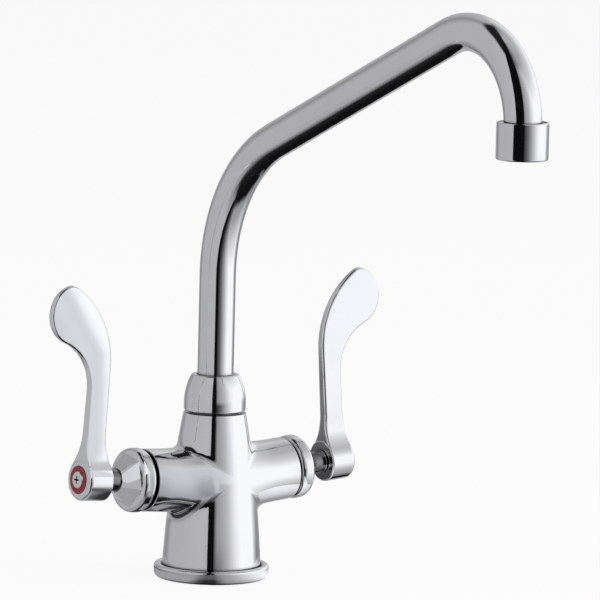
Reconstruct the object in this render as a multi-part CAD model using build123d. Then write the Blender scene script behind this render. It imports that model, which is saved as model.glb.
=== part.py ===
from build123d import *
import os
from math import acos, atan2, copysign, cos, degrees, hypot, pi, radians, sin, sqrt, tan

# A deck-mount kitchen faucet: a cross-shaped body with two tilted arms, a blade handle on each arm
# and a bent spout that swivels on top. All sizes are millimetres. The deck's top is z = 0, the body
# stands on the Z axis, the arms run along X (hot at -X, cold at +X) and the spout points to -Y.

# Clearances
RUN = 0.06          # radial gap of a shaft that turns in its bore
SEAL = 0.05         # gap between a seal and the wall that it would touch
SLIP = 0.05         # gap of a piece that is screwed, brazed or pushed in
REST = 0.10         # gap between two faces that slide on each other
PAST = 1.0          # how far a cutter reaches past the face that it opens

# Spout tube
REACH = 254.0               # body axis to outlet axis
TUBE_OD = 19.05
TUBE_WALL = 1.2
TUBE_FOOT = 80.0            # lower end, inside the swivel stub
TUBE_CORNER = 212.9         # where the riser's line meets the slope's line
SLOPE_ANGLE = 24.3          # rise of the long straight run
RISER_BEND = 82.5
CREST_BEND = 42.9
OUTLET_DROP = 74.0          # where the slope's line meets the outlet's down to the open end

# Body casting
FLANGE_RADIUS = 30.2
FLANGE_HEIGHT = 7.2
FLANGE_ROUND = 3.6
FLANGE_FOOT_ROUND = 2.8
CONE_FOOT_RADIUS = 26.0
CREASE_HEIGHT = 4.8         # dip between the flange's rim and the cone
CREASE_WIDTH = 1.0
CREASE_INSET = 0.5          # how far the flange's top runs in under the cone
NECK_RADIUS = 16.4
BODY_TOP = 87.2
BODY_BULGE = 1.44           # how far the cone's side stands out of a straight line
CREST_THREAD_RADIUS = 13.4  # thread under the collar nut
CREST_THREAD_TOP = 98.2
ARM_HEIGHT = 51.0           # where the arm axes cross the body axis
ARM_TILT = 4.3              # rise of each arm
ARM_RADIUS = 16.4
ARM_ROOT_RADIUS = 16.9
ARM_END = 45.4              # body axis to the arm's end face, along the arm
CROSS_SWELL = 5.0           # how much thicker the arms are where they meet in the body
SWELL_LENGTH = 40.0         # body axis to where an arm is plain again
SWELL_STEPS = 6             # sections that shape the swell on each side
PLAIN_STEPS = 3             # sections that carry each arm on to its rim
ARM_BLEND = 7.0             # fillet between the arms and the upright body
BLEND_SHARE = 0.28          # most of the height under an arm that the fillet may take
EDGE_ROUND = 0.8

# Waterways in the body
SOCKET_RADIUS = 11.6        # bore that the spout turns in
SOCKET_FLOOR = 70.0
CARTRIDGE_BORE = 12.4
BORE_FLOOR = 12.6           # distance of the cartridge seat from the body axis
PORT_RADIUS = 4.2
INLET_OFFSET = 6.5
INLET_THREAD_RADIUS = 4.46
INLET_THREAD_LENGTH = 14.0
INLET_DRILL_RADIUS = 3.8
RISE_RADIUS = 3.0           # slanted passage from an arm to the spout socket

# Mounting below the deck
SHANK_RADIUS = 15.9
SHANK_BORE = 12.4
SHANK_LENGTH = 60.0         # below the deck's top
SHANK_SOCKET = 12.0         # depth in the body
THREAD_PITCH = 2.5          # grooves of the shank, shown as rings
THREAD_DEPTH = 1.1
GASKET_INNER = 19.0
GASKET_OUTER = 26.6
GASKET_THICKNESS = 1.5
DECK_THICKNESS = 12.0       # worktop that the nut is drawn up against
RUBBER_WASHER_THICKNESS = 3.0
RUBBER_WASHER_RADIUS = 28.0
STEEL_WASHER_THICKNESS = 1.6
STEEL_WASHER_RADIUS = 27.0
NUT_ACROSS_FLATS = 46.0
NUT_THICKNESS = 9.0
NUT_CHAMFER = 30.0          # slope of the chamfer on its corners

# Spout swivel
COLLAR_RADIUS = 16.25
COLLAR_FOOT = 88.4
COLLAR_DOME_FOOT = 93.0
COLLAR_TOP = 107.4
COLLAR_TOP_RADIUS = 12.5
COLLAR_BULGE = 0.9
COLLAR_GAP = 0.35           # round the tube
STUB_FOOT = 71.0
STUB_FLANGE_RADIUS = 12.6
STUB_FLANGE_THICKNESS = 2.8
BEARING_THICKNESS = 1.1
STUB_GROOVE_DEPTH = 1.65
STUB_GROOVE_WIDTH = 1.9
STUB_GROOVE_PITCH = 3.2
STUB_GROOVE_FOOT = 73.0

# Outlet
AERATOR_RADIUS = 13.0
AERATOR_LAP = 10.0          # how far the housing covers the tube's end
AERATOR_HEIGHT = 18.6
AERATOR_WALL = 1.1
AERATOR_FOOT_ROUND = 1.0
AERATOR_TOP_ROUND = 0.5
AERATOR_LIP = 1.3           # height and inward reach of the rim that holds the insert
INSERT_THICKNESS = 4.3
INSERT_HOLE_RADIUS = 0.8
INSERT_HOLE_PITCH = 2.6
SCREEN_THICKNESS = 0.4
SCREEN_HOLE_RADIUS = 0.45
SCREEN_HOLE_PITCH = 1.5
AERATOR_WASHER_THICKNESS = 1.4
SLEEVE_INSET = 0.4          # the sleeve stops short of the housing's rim

# Cartridge, measured along the arm from the body axis
SEAT_SEAL_THICKNESS = 1.8
SEAT_SEAL_RADIUS = 7.2
DISC_RADIUS = 7.6
DISC_THICKNESS = 3.0
DISC_PORT_RADIUS = 1.9
DISC_PORT_OFFSET = 4.3
CAGE_RADIUS = 10.2
CAGE_WINDOW = 5.0
FLANGE_START = 33.0
CARTRIDGE_FLANGE = 3.0
SLEEVE_RADIUS = 8.6
SLEEVE_END = 47.0
STEM_RADIUS = 5.8           # the dark neck between nut and handle
STEM_END = 69.0
SPINDLE_RADIUS = 4.3
SPINDLE_HEAD_RADIUS = 6.6
SPINDLE_HEAD = 3.2
SPINDLE_GROOVE_DEPTH = 1.2
SPINDLE_GROOVE_WIDTH = 1.4
SPINDLE_SEALS = (52.0, 56.0)
CLIP_THICKNESS = 0.8
CLIP_RADIUS = 6.0
CLIP_DEPTH = 0.7
SQUARE = 6.2                # across the flats of the spindle's driving end
RING_SECTION = 1.6          # thickness of the cartridge's sealing ring

# Bonnet nut
NUT_GAP = 1.0               # groove between the arm's end and the nut
BEAD_RADIUS = 16.8
BEAD_ROUND = 3.2
HEX_START = 54.3
HEX_START_RADIUS = 15.7     # to the corners
HEX_END = 62.5
HEX_END_RADIUS = 7.4
HEX_TURN = 12.0             # turn of the hexagon about the arm
NUT_SKIRT = 9.3             # thread length in the arm

# Handle
HUB_RADIUS = 10.9
HUB_START = 70.5
HUB_LENGTH = 15.1
HUB_ROUND = 2.4
HUB_BACK_ROUND = 0.8
HANDLE_LENGTH = 100.6       # hub axis to the tip of the blade
BLADE_THICKNESS = 5.8       # where the flat of the blade starts
BLADE_LEAN = 0.7            # lean of each face, which thins the blade towards its tip
BLADE_NECK = 11.6
BLADE_FLARE = 24.0          # radius that leads the blade's faces into the hub
NECK_SPREAD = 24.0          # height where the blade's edges start to spread to the hub
NECK_BLEND = 25.0
BACK_BEND = 46.0            # convex inner edge of the paddle
BACK_TURN = 61.1
TIP_BEND = 6.6
TIP_TURN = 53.3
PADDLE_BEND = 15.8
FRONT_BEND = 25.6           # concave outer edge below the paddle
BLADE_ROUND = 1.3
ROUND_SHARE = 0.42          # most of the tip's thickness that each rounding may take
HANDLE_WALL = 2.2           # metal under the screw head
HEAD_DEPTH = 3.4            # from the hub's face to the screw's seat

# Handle screw and index ring
SCREW_HEAD_RADIUS = 4.6
SCREW_PROUD = 1.2
SCREW_RADIUS = 2.0
SCREW_LENGTH = 12.0
SCREW_GAP = 0.2             # round the screw in the handle
RECESS_LENGTH = 4.2
RECESS_WIDTH = 0.9
RECESS_DEPTH = 1.5
INDEX_RADIUS = 7.35
INDEX_THICKNESS = 1.4
INDEX_PROUD = 0.2

# Worked out from the values above
TUBE_CREST = TUBE_CORNER + REACH * tan(radians(SLOPE_ANGLE))
TUBE_TIP = TUBE_CREST - OUTLET_DROP
TUBE_RADIUS = TUBE_OD / 2
TUBE_BORE = TUBE_RADIUS - TUBE_WALL
BRAZED_BORE = TUBE_RADIUS + SLIP
STUB_RADIUS = SOCKET_RADIUS - REST
STUB_FLANGE_FOOT = CREST_THREAD_TOP + REST
STUB_TOP = STUB_FLANGE_FOOT + STUB_FLANGE_THICKNESS
BEARING_FOOT = STUB_TOP + REST
BEARING_TOP = BEARING_FOOT + BEARING_THICKNESS
COLLAR_HOLE = TUBE_RADIUS + COLLAR_GAP
SLEEVE_THREAD = AERATOR_RADIUS - AERATOR_WALL - SLIP
INSERT_RADIUS = AERATOR_RADIUS - AERATOR_WALL - SLIP
INSERT_OPENING = AERATOR_RADIUS - AERATOR_WALL - AERATOR_LIP
AERATOR_TOP = TUBE_TIP + AERATOR_LAP
AERATOR_FOOT = AERATOR_TOP - AERATOR_HEIGHT
INSERT_FOOT = AERATOR_FOOT + AERATOR_LIP
SCREEN_FOOT = INSERT_FOOT + INSERT_THICKNESS
WASHER_FOOT = SCREEN_FOOT + SCREEN_THICKNESS
OUTLET_FOOT = WASHER_FOOT + AERATOR_WASHER_THICKNESS
OUTLET_TOP = AERATOR_TOP - SLEEVE_INSET
FIXED_DISC_START = BORE_FLOOR + SEAT_SEAL_THICKNESS
MOVING_DISC_START = FIXED_DISC_START + DISC_THICKNESS + SLIP
SPINDLE_START = MOVING_DISC_START + DISC_THICKNESS
CAGE_END = SPINDLE_START + SPINDLE_HEAD + REST
SPINDLE_BORE = SPINDLE_RADIUS + RUN
NUT_START = ARM_END + NUT_GAP
HUB_END = HUB_START + HUB_LENGTH
HUB_MIDDLE = HUB_START + HUB_LENGTH / 2
INDEX_START = HUB_END + INDEX_PROUD - INDEX_THICKNESS
HEAD_SEAT = HUB_END - HEAD_DEPTH
SQUARE_END = HEAD_SEAT - HANDLE_WALL
CLIP_START = STEM_END + REST
BACK_START = HANDLE_LENGTH - TIP_BEND - (BACK_BEND - TIP_BEND) * sin(radians(BACK_TURN))
PADDLE_SPAN = (
    BLADE_NECK + FRONT_BEND - BACK_BEND * (1 - cos(radians(BACK_TURN)))
    - TIP_BEND * (cos(radians(BACK_TURN)) - cos(radians(BACK_TURN + TIP_TURN)))
    - PADDLE_BEND * cos(radians(BACK_TURN + TIP_TURN))
)
FRONT_TURN = degrees(acos(PADDLE_SPAN / (PADDLE_BEND + FRONT_BEND)))    # closes the outline
NUT_FACE = -DECK_THICKNESS - RUBBER_WASHER_THICKNESS - STEEL_WASHER_THICKNESS

HOT, COLD = -1, 1
UP, OUT = Axis.Z, Axis.X


def corner_arc(before, corner, after, radius):
    """Points where a rounding of the corner starts, is half way and ends."""
    to_before = (before - corner).normalized()
    to_after = (after - corner).normalized()
    half = radians(to_before.get_angle(to_after)) / 2
    room = 0.49 * min((before - corner).length, (after - corner).length)
    radius = min(radius, room * tan(half))
    run = radius / tan(half)
    middle = (to_before + to_after).normalized() * (radius / sin(half) - radius)
    return corner + to_before * run, corner + middle, corner + to_after * run


def rounded_face(corners):
    """Upright face inside straight lines through (x, y) or (x, y, rounding radius) corners."""
    points = [Vector(corner[0], corner[1]) for corner in corners]
    radii = [corner[2] if len(corner) == 3 else 0 for corner in corners]
    stops, edges = [], []
    for index, point in enumerate(points):
        if radii[index] > 0:
            after = points[(index + 1) % len(points)]
            start, middle, end = corner_arc(points[index - 1], point, after, radii[index])
            edges.append(ThreePointArc(start, middle, end))
            stops.append((start, end))
        else:
            stops.append((point, point))
    for index, (start, _) in enumerate(stops):
        edges.append(Line(stops[index - 1][1], start))
    return Plane.XZ * make_face(Curve() + edges)


def turned(corners, axis=UP):
    """Solid of revolution; corners are (radius, z) about Z or (x, radius) about X."""
    return revolve(rounded_face(corners), axis)


def barrel(start_radius, start, end_radius, end, bulge):
    """Solid of revolution about Z whose side is one arc that stands out by the bulge."""
    foot, top = Vector(start_radius, start), Vector(end_radius, end)
    outwards = Vector(end - start, start_radius - end_radius).normalized()
    side = ThreePointArc(foot, (foot + top) / 2 + outwards * bulge, top)
    edges = [Line((0, start), foot), side, Line(top, (0, end)), Line((0, end), (0, start))]
    return revolve(Plane.XZ * make_face(Curve() + edges), UP)


def ring(inner, outer, start, end, axis=UP):
    """Plain ring between two radii and two stations along the axis."""
    if axis is UP:
        return turned([(inner, start), (outer, start), (outer, end), (inner, end)])
    return turned([(start, inner), (start, outer), (end, outer), (end, inner)], axis)


def rod(radius, start, end, axis=UP):
    """Plain cylinder between two stations along the axis."""
    return ring(0, radius, start, end, axis)


def seal_ring(bore, wall, station, axis=UP):
    """Round-section ring that fills the space between a groove's floor and a bore."""
    section = (wall - bore) / 2 - SEAL
    middle = (wall + bore) / 2
    centre = (middle, station) if axis is UP else (station, middle)
    return revolve(Plane.XZ * (Pos(*centre) * Circle(section)), axis)


def hexagon_prism(corner_radius, start, end):
    """Upright six-sided bar."""
    return Pos(0, 0, start) * extrude(RegularPolygon(corner_radius, 6), end - start)


def hole_grid(radius, pitch, field):
    """Round holes on a triangular grid inside a circle, as one flat sketch."""
    rows = int(field / pitch) + 1
    spots = []
    for row in range(-rows, rows + 1):
        for column in range(-2 * rows, 2 * rows + 1):
            x = (column + row % 2 / 2) * pitch
            y = row * pitch * sqrt(3) / 2
            if hypot(x, y) + radius < field:
                spots.append((x, y))
    return Sketch() + [Pos(*spot) * Circle(radius) for spot in spots]


def on_arm(piece, side):
    """Carry a piece made along +X from the body axis to the cold or the hot arm."""
    tilted = Location((0, 0, ARM_HEIGHT), (0, -ARM_TILT, 0)) * piece
    return tilted if side == COLD else mirror(tilted, about=Plane.YZ)


def at_outlet(piece):
    """Carry a piece made about the Z axis to the outlet's axis."""
    return Pos(0, -REACH, 0) * piece


# Body casting
def arm_section(station):
    """Round section of the crossbar made of both arms; the station is negative on the hot arm."""
    out = abs(station)
    radius = ARM_ROOT_RADIUS + (ARM_RADIUS - ARM_ROOT_RADIUS) * out / (ARM_END - EDGE_ROUND)
    if out < SWELL_LENGTH:
        radius += CROSS_SWELL * ((1 + cos(pi * out / SWELL_LENGTH)) / 2) ** 2
    rise = radians(ARM_TILT)
    middle = Vector(station * cos(rise), 0, ARM_HEIGHT + out * sin(rise))
    heading = Vector(cos(rise), 0, copysign(sin(rise), station)) if station else Vector(1, 0, 0)
    return Plane(middle, x_dir=(0, 1, 0), z_dir=heading) * Circle(radius)


def crossbar():
    """Both arms as one bar that swells where it crosses the upright body."""
    last = ARM_END - EDGE_ROUND
    steps = range(-SWELL_STEPS, SWELL_STEPS + 1)
    swell = [SWELL_LENGTH * step / SWELL_STEPS for step in steps]
    span = (last - SWELL_LENGTH) / PLAIN_STEPS
    plain = [SWELL_LENGTH + span * step for step in range(1, PLAIN_STEPS + 1)]
    stations = [-out for out in reversed(plain)] + swell + plain
    bar = loft([arm_section(station) for station in stations])
    rim = turned([(last, 0), (last, ARM_RADIUS), (ARM_END, ARM_RADIUS, EDGE_ROUND), (ARM_END, 0)], OUT)
    return bar + on_arm(rim, HOT) + on_arm(rim, COLD)


def body_outside():
    """Flanged cone with its two tilted arms."""
    cone = barrel(CONE_FOOT_RADIUS, CREASE_HEIGHT - PAST, NECK_RADIUS, BODY_TOP, BODY_BULGE)
    bar = crossbar()
    cross = cone + bar
    room = BLEND_SHARE * (ARM_HEIGHT - ARM_ROOT_RADIUS - CREASE_HEIGHT)
    cross = fillet(new_edges(cone, bar, combined=cross), min(ARM_BLEND, room))
    flange = turned([
        (0, 0), (FLANGE_RADIUS, 0, FLANGE_FOOT_ROUND),
        (FLANGE_RADIUS, FLANGE_HEIGHT, FLANGE_ROUND),
        (CONE_FOOT_RADIUS + CREASE_WIDTH, FLANGE_HEIGHT, FLANGE_ROUND / 2),
        (CONE_FOOT_RADIUS - CREASE_INSET, CREASE_HEIGHT), (0, CREASE_HEIGHT),
    ])
    return cross + flange


def arm_waterways():
    """Cartridge bore and seat port of one arm, made along +X."""
    bore = rod(CARTRIDGE_BORE, BORE_FLOOR, ARM_END + PAST, OUT)
    port = rod(PORT_RADIUS, INLET_OFFSET, BORE_FLOOR + PAST, OUT)
    return bore + port


def rise_passage():
    """Slanted hole from the cartridge's chamber to the floor of the spout socket."""
    low = Vector(BORE_FLOOR + 2 * RISE_RADIUS, ARM_HEIGHT + CARTRIDGE_BORE - RISE_RADIUS)
    high = Vector(SOCKET_RADIUS - 2 * RISE_RADIUS, SOCKET_FLOOR + RISE_RADIUS)
    slope = degrees(atan2(high.X - low.X, high.Y - low.Y))
    hole = rod(RISE_RADIUS, 0, (high - low).length)
    return Location((low.X, 0, low.Y), (0, slope, 0)) * hole


def body_casting():
    """The chromed body with every bore and seat cut in it."""
    body = body_outside() + rod(CREST_THREAD_RADIUS, BODY_TOP - PAST, CREST_THREAD_TOP)
    body -= rod(SOCKET_RADIUS, SOCKET_FLOOR, CREST_THREAD_TOP + PAST)
    for side in (HOT, COLD):
        body -= on_arm(arm_waterways(), side)
        inlet = Pos(side * INLET_OFFSET, 0, 0)
        body -= inlet * rod(INLET_DRILL_RADIUS, 0, ARM_HEIGHT + PORT_RADIUS / 2)
        body -= inlet * rod(INLET_THREAD_RADIUS, 0, SHANK_SOCKET + INLET_THREAD_LENGTH)
        body -= rise_passage() if side == COLD else mirror(rise_passage(), about=Plane.YZ)
    body -= rod(SHANK_RADIUS + SLIP, -PAST, SHANK_SOCKET)
    body -= ring(GASKET_INNER - SLIP, GASKET_OUTER + SLIP, -PAST, GASKET_THICKNESS)
    return body


# Mounting set
def base_gasket():
    return ring(GASKET_INNER, GASKET_OUTER, 0, GASKET_THICKNESS)


def mounting_shank():
    """Threaded tube screwed into the body's underside; the supplies pass through it."""
    root = SHANK_RADIUS - THREAD_DEPTH
    corners = [(SHANK_BORE, -SHANK_LENGTH)]
    for turn in range(int(SHANK_LENGTH / THREAD_PITCH)):
        foot = turn * THREAD_PITCH - SHANK_LENGTH
        corners += [(root, foot), (SHANK_RADIUS, foot + THREAD_PITCH / 2)]
    top = corners[-1][1] + THREAD_PITCH / 2
    corners += [(root, top), (SHANK_RADIUS, top + THREAD_DEPTH / 2)]
    return turned(corners + [(SHANK_RADIUS, SHANK_SOCKET), (SHANK_BORE, SHANK_SOCKET)])


def rubber_washer():
    foot = -DECK_THICKNESS - RUBBER_WASHER_THICKNESS
    return ring(SHANK_RADIUS + SLIP, RUBBER_WASHER_RADIUS, foot, -DECK_THICKNESS)


def steel_washer():
    top = NUT_FACE + STEEL_WASHER_THICKNESS
    return ring(SHANK_RADIUS + SLIP, STEEL_WASHER_RADIUS, NUT_FACE, top)


def mounting_nut():
    """Six-sided nut with its corners chamfered at both faces."""
    foot = NUT_FACE - NUT_THICKNESS
    flat, corner = NUT_ACROSS_FLATS / 2, NUT_ACROSS_FLATS / sqrt(3)
    rise = (corner - flat) * tan(radians(NUT_CHAMFER))
    limit = turned([
        (0, foot), (flat, foot), (corner, foot + rise),
        (corner, NUT_FACE - rise), (flat, NUT_FACE), (0, NUT_FACE),
    ])
    nut = hexagon_prism(corner, foot, NUT_FACE) & limit
    return nut - rod(SHANK_RADIUS + SLIP, foot - PAST, NUT_FACE + PAST)


# Spout swivel
def collar_nut():
    """Domed nut that holds the spout down; its skirt screws over the body's top thread."""
    dome = barrel(
        COLLAR_RADIUS, COLLAR_DOME_FOOT, COLLAR_TOP_RADIUS, COLLAR_TOP, COLLAR_BULGE
    )
    skirt = turned([
        (0, COLLAR_FOOT), (COLLAR_RADIUS, COLLAR_FOOT, EDGE_ROUND),
        (COLLAR_RADIUS, COLLAR_DOME_FOOT), (0, COLLAR_DOME_FOOT),
    ])
    nut = fillet((dome + skirt).edges().filter_by(GeomType.CIRCLE).sort_by(UP)[-1], EDGE_ROUND)
    nut -= rod(CREST_THREAD_RADIUS + SLIP, COLLAR_FOOT - PAST, BEARING_TOP)
    return nut - rod(COLLAR_HOLE, COLLAR_FOOT, COLLAR_TOP + PAST)


def bearing_washer():
    return ring(COLLAR_HOLE, CREST_THREAD_RADIUS - SLIP, BEARING_FOOT, BEARING_TOP)


def swivel_stub():
    """Turned end that is brazed to the spout tube and rides in the body's socket."""
    stub = ring(TUBE_BORE, STUB_RADIUS, STUB_FOOT, STUB_FLANGE_FOOT)
    stub += ring(TUBE_BORE, STUB_FLANGE_RADIUS, STUB_FLANGE_FOOT, STUB_TOP)
    stub -= rod(BRAZED_BORE, TUBE_FOOT - SLIP, STUB_TOP + PAST)
    floor, rim = STUB_RADIUS - STUB_GROOVE_DEPTH, STUB_RADIUS + PAST
    for foot in (STUB_GROOVE_FOOT, STUB_GROOVE_FOOT + STUB_GROOVE_PITCH):
        stub -= ring(floor, rim, foot, foot + STUB_GROOVE_WIDTH)
    return stub


def spout_o_rings():
    """Both seals of the spout, in the stub's grooves."""
    middle = STUB_GROOVE_FOOT + STUB_GROOVE_WIDTH / 2
    floor = STUB_RADIUS - STUB_GROOVE_DEPTH
    rings = [seal_ring(floor, SOCKET_RADIUS, middle + step) for step in (0, STUB_GROOVE_PITCH)]
    return Compound(rings)


# Spout
def spout_path():
    """Centre line of the tube: up, along the slope and down to the outlet."""
    corners = [(0, TUBE_FOOT), (0, TUBE_CORNER), (-REACH, TUBE_CREST), (-REACH, TUBE_TIP)]
    points = [(0, y, z) for y, z in corners]
    return FilletPolyline(*points, radius=[RISER_BEND, CREST_BEND])


def spout_tube():
    start = Plane((0, 0, TUBE_FOOT))
    wall = Circle(TUBE_RADIUS) - Circle(TUBE_BORE)
    return sweep(start * wall, spout_path())


def outlet_sleeve():
    """Threaded sleeve brazed on the tube's end for the aerator."""
    return at_outlet(ring(BRAZED_BORE, SLEEVE_THREAD, OUTLET_FOOT, OUTLET_TOP))


def aerator_housing():
    """Chromed cup that screws over the sleeve and holds the insert."""
    cup = turned([
        (0, AERATOR_FOOT), (AERATOR_RADIUS, AERATOR_FOOT, AERATOR_FOOT_ROUND),
        (AERATOR_RADIUS, AERATOR_TOP, AERATOR_TOP_ROUND), (0, AERATOR_TOP),
    ])
    cup -= rod(AERATOR_RADIUS - AERATOR_WALL, INSERT_FOOT, AERATOR_TOP + PAST)
    return at_outlet(cup - rod(INSERT_OPENING, AERATOR_FOOT - PAST, INSERT_FOOT + PAST))


def aerator_insert():
    """Plastic flow straightener, a disc full of small channels."""
    disc = Circle(INSERT_RADIUS) - hole_grid(INSERT_HOLE_RADIUS, INSERT_HOLE_PITCH, INSERT_OPENING)
    return at_outlet(Pos(0, 0, INSERT_FOOT) * extrude(disc, INSERT_THICKNESS - SLIP))


def aerator_screen():
    """Thin perforated disc above the insert."""
    disc = Circle(INSERT_RADIUS) - hole_grid(SCREEN_HOLE_RADIUS, SCREEN_HOLE_PITCH, TUBE_BORE)
    return at_outlet(Pos(0, 0, SCREEN_FOOT) * extrude(disc, SCREEN_THICKNESS - SLIP))


def aerator_washer():
    return at_outlet(ring(TUBE_BORE, INSERT_RADIUS, WASHER_FOOT, OUTLET_FOOT - SLIP))


# Cartridges, made along +X from the body axis
def seat_seal():
    return ring(PORT_RADIUS, SEAT_SEAL_RADIUS, BORE_FLOOR, FIXED_DISC_START, OUT)


def ceramic_disc(start, turn):
    """Disc with two round ports; the turn is measured from the upright."""
    end = start + DISC_THICKNESS
    disc = rod(DISC_RADIUS, start, end, OUT)
    port = Pos(0, 0, DISC_PORT_OFFSET) * rod(DISC_PORT_RADIUS, start - PAST, end + PAST, OUT)
    for angle in (turn, turn + 180):
        disc -= Rot(angle, 0, 0) * port
    return disc


def fixed_disc():
    return ceramic_disc(FIXED_DISC_START, 0)


def moving_disc():
    """The ports stand across those of the fixed disc, so the rest position is shut."""
    return ceramic_disc(MOVING_DISC_START, 90)


def cartridge_body():
    """Brass body that holds the discs, with side windows for the water and a long neck."""
    flange_end = FLANGE_START + CARTRIDGE_FLANGE
    groove = FLANGE_START + (CARTRIDGE_FLANGE - RING_SECTION) / 2
    body = turned([
        (FIXED_DISC_START, 0), (FIXED_DISC_START, CAGE_RADIUS), (FLANGE_START, CAGE_RADIUS),
        (FLANGE_START, CARTRIDGE_BORE - SLIP), (flange_end, CARTRIDGE_BORE - SLIP),
        (flange_end, SLEEVE_RADIUS), (SLEEVE_END, SLEEVE_RADIUS),
        (SLEEVE_END, STEM_RADIUS), (STEM_END, STEM_RADIUS), (STEM_END, 0),
    ], OUT)
    body -= rod(DISC_RADIUS + SLIP, FIXED_DISC_START - PAST, CAGE_END, OUT)
    body -= rod(SPINDLE_BORE, CAGE_END - PAST, STEM_END + PAST, OUT)
    window = Box(SPINDLE_HEAD, CAGE_WINDOW, 3 * CAGE_RADIUS)
    body -= Pos(SPINDLE_START + SPINDLE_HEAD / 2, 0, 0) * window
    return body - ring(
        CARTRIDGE_BORE - RING_SECTION, CARTRIDGE_BORE + PAST, groove, groove + RING_SECTION, OUT
    )


def cartridge_o_ring():
    middle = FLANGE_START + CARTRIDGE_FLANGE / 2
    return seal_ring(CARTRIDGE_BORE - RING_SECTION, CARTRIDGE_BORE, middle, OUT)


def bonnet_nut():
    """Chromed nut with a rounded bead and a tapering hexagon; a threaded skirt enters the arm."""
    taper = (HEX_START_RADIUS - HEX_END_RADIUS) / (HEX_END - HEX_START)
    root = NUT_START + BEAD_ROUND / 2
    root_radius = HEX_START_RADIUS + taper * (HEX_START - root)
    faces = [
        Plane((station, 0, 0), x_dir=(0, 1, 0), z_dir=(1, 0, 0))
        * RegularPolygon(radius, 6, rotation=HEX_TURN)
        for station, radius in ((root, root_radius), (HEX_END, HEX_END_RADIUS))
    ]
    bead_end = HEX_START + PAST
    bead = turned([
        (NUT_START, 0), (NUT_START, BEAD_RADIUS, BEAD_ROUND), (bead_end, BEAD_RADIUS, BEAD_ROUND),
        (bead_end, 0),
    ], OUT)
    limit = turned([
        (0, 0), (0, HEX_START_RADIUS), (HEX_START, HEX_START_RADIUS),
        (HEX_END, HEX_END_RADIUS - EDGE_ROUND), (HEX_END, 0),
    ], OUT)
    nut = bead + (loft(faces, ruled=True) & limit)
    nut += rod(CARTRIDGE_BORE - SLIP, NUT_START - NUT_SKIRT, NUT_START + PAST, OUT)
    nut -= rod(SLEEVE_RADIUS + SLIP, NUT_START - NUT_SKIRT - PAST, SLEEVE_END + SLIP, OUT)
    return nut - rod(STEM_RADIUS + SLIP, NUT_START, HEX_END + PAST, OUT)


def spindle():
    """Steel shaft from the moving disc to the handle's square hole."""
    shaft = rod(SPINDLE_HEAD_RADIUS, SPINDLE_START, SPINDLE_START + SPINDLE_HEAD, OUT)
    shaft += rod(SPINDLE_RADIUS, SPINDLE_START, HUB_START, OUT)
    tail = Pos((HUB_START + SQUARE_END) / 2, 0, 0) * Box(SQUARE_END - HUB_START, SQUARE, SQUARE)
    shaft += tail
    floor, rim = SPINDLE_RADIUS - SPINDLE_GROOVE_DEPTH, SPINDLE_RADIUS + PAST
    for middle in SPINDLE_SEALS:
        start = middle - SPINDLE_GROOVE_WIDTH / 2
        shaft -= ring(floor, rim, start, start + SPINDLE_GROOVE_WIDTH, OUT)
    shaft -= ring(SPINDLE_RADIUS - CLIP_DEPTH, rim, CLIP_START, CLIP_START + CLIP_THICKNESS, OUT)
    return shaft - rod(SCREW_RADIUS + SLIP, HEAD_SEAT - SCREW_LENGTH - PAST, HUB_END, OUT)


def spindle_o_rings():
    rings = [
        seal_ring(SPINDLE_RADIUS - SPINDLE_GROOVE_DEPTH, SPINDLE_BORE, middle, OUT)
        for middle in SPINDLE_SEALS
    ]
    return Compound(rings)


def spindle_clip():
    """Open spring clip that keeps the spindle in the cartridge."""
    inner, start = SPINDLE_RADIUS - CLIP_DEPTH + SLIP, CLIP_START + SLIP / 2
    clip = ring(inner, CLIP_RADIUS, start, start + CLIP_THICKNESS - SLIP, OUT)
    mouth = Box(4 * CLIP_THICKNESS, SPINDLE_RADIUS, 2 * CLIP_RADIUS)
    return clip - Pos(CLIP_START, 0, -CLIP_RADIUS) * mouth


# Handles, made along +X from the body axis with the blade up
def turn_arc(start, heading, radius, turn):
    """Arc that leaves a point at a heading in degrees and turns right, or left if negative."""
    side = 1 if turn > 0 else -1
    h = radians(heading)
    centre = start + Vector(sin(h), -cos(h)) * side * radius
    stops = []
    for share in (0.5, 1):
        angle = radians(heading - turn * share)
        stops.append(centre + Vector(-sin(angle), cos(angle)) * side * radius)
    return ThreePointArc(start, *stops), stops[1], heading - turn


def blade_outline():
    """Front view of the blade: the hub's centre is the origin, x points outwards and y up."""
    half, foot = BLADE_NECK / 2, HUB_LENGTH / 2 - HUB_BACK_ROUND / 2
    back, front = Vector(-half, BACK_START), Vector(half, NECK_SPREAD)
    shoulder = HUB_RADIUS - HUB_ROUND
    low_left, low_right = Vector(-foot, shoulder), Vector(foot, shoulder)
    left = corner_arc(low_left, Vector(-half, NECK_SPREAD), back, NECK_BLEND)
    edges = [Line((-foot, 0), low_left), Line(low_left, left[0])]
    edges += [ThreePointArc(*left), Line(left[2], back)]
    point, heading = back, 90
    paddle_turn = 180 + FRONT_TURN - BACK_TURN - TIP_TURN
    turns = [(BACK_BEND, BACK_TURN), (TIP_BEND, TIP_TURN), (PADDLE_BEND, paddle_turn)]
    for radius, turn in turns + [(FRONT_BEND, -FRONT_TURN)]:
        arc, point, heading = turn_arc(point, heading, radius, turn)
        edges.append(arc)
    right = corner_arc(point, front, low_right, NECK_BLEND)
    edges += [Line(point, right[0]), ThreePointArc(*right), Line(right[2], low_right)]
    edges += [Line(low_right, (foot, 0)), Line((foot, 0), (-foot, 0))]
    return make_face(Curve() + edges)


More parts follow.
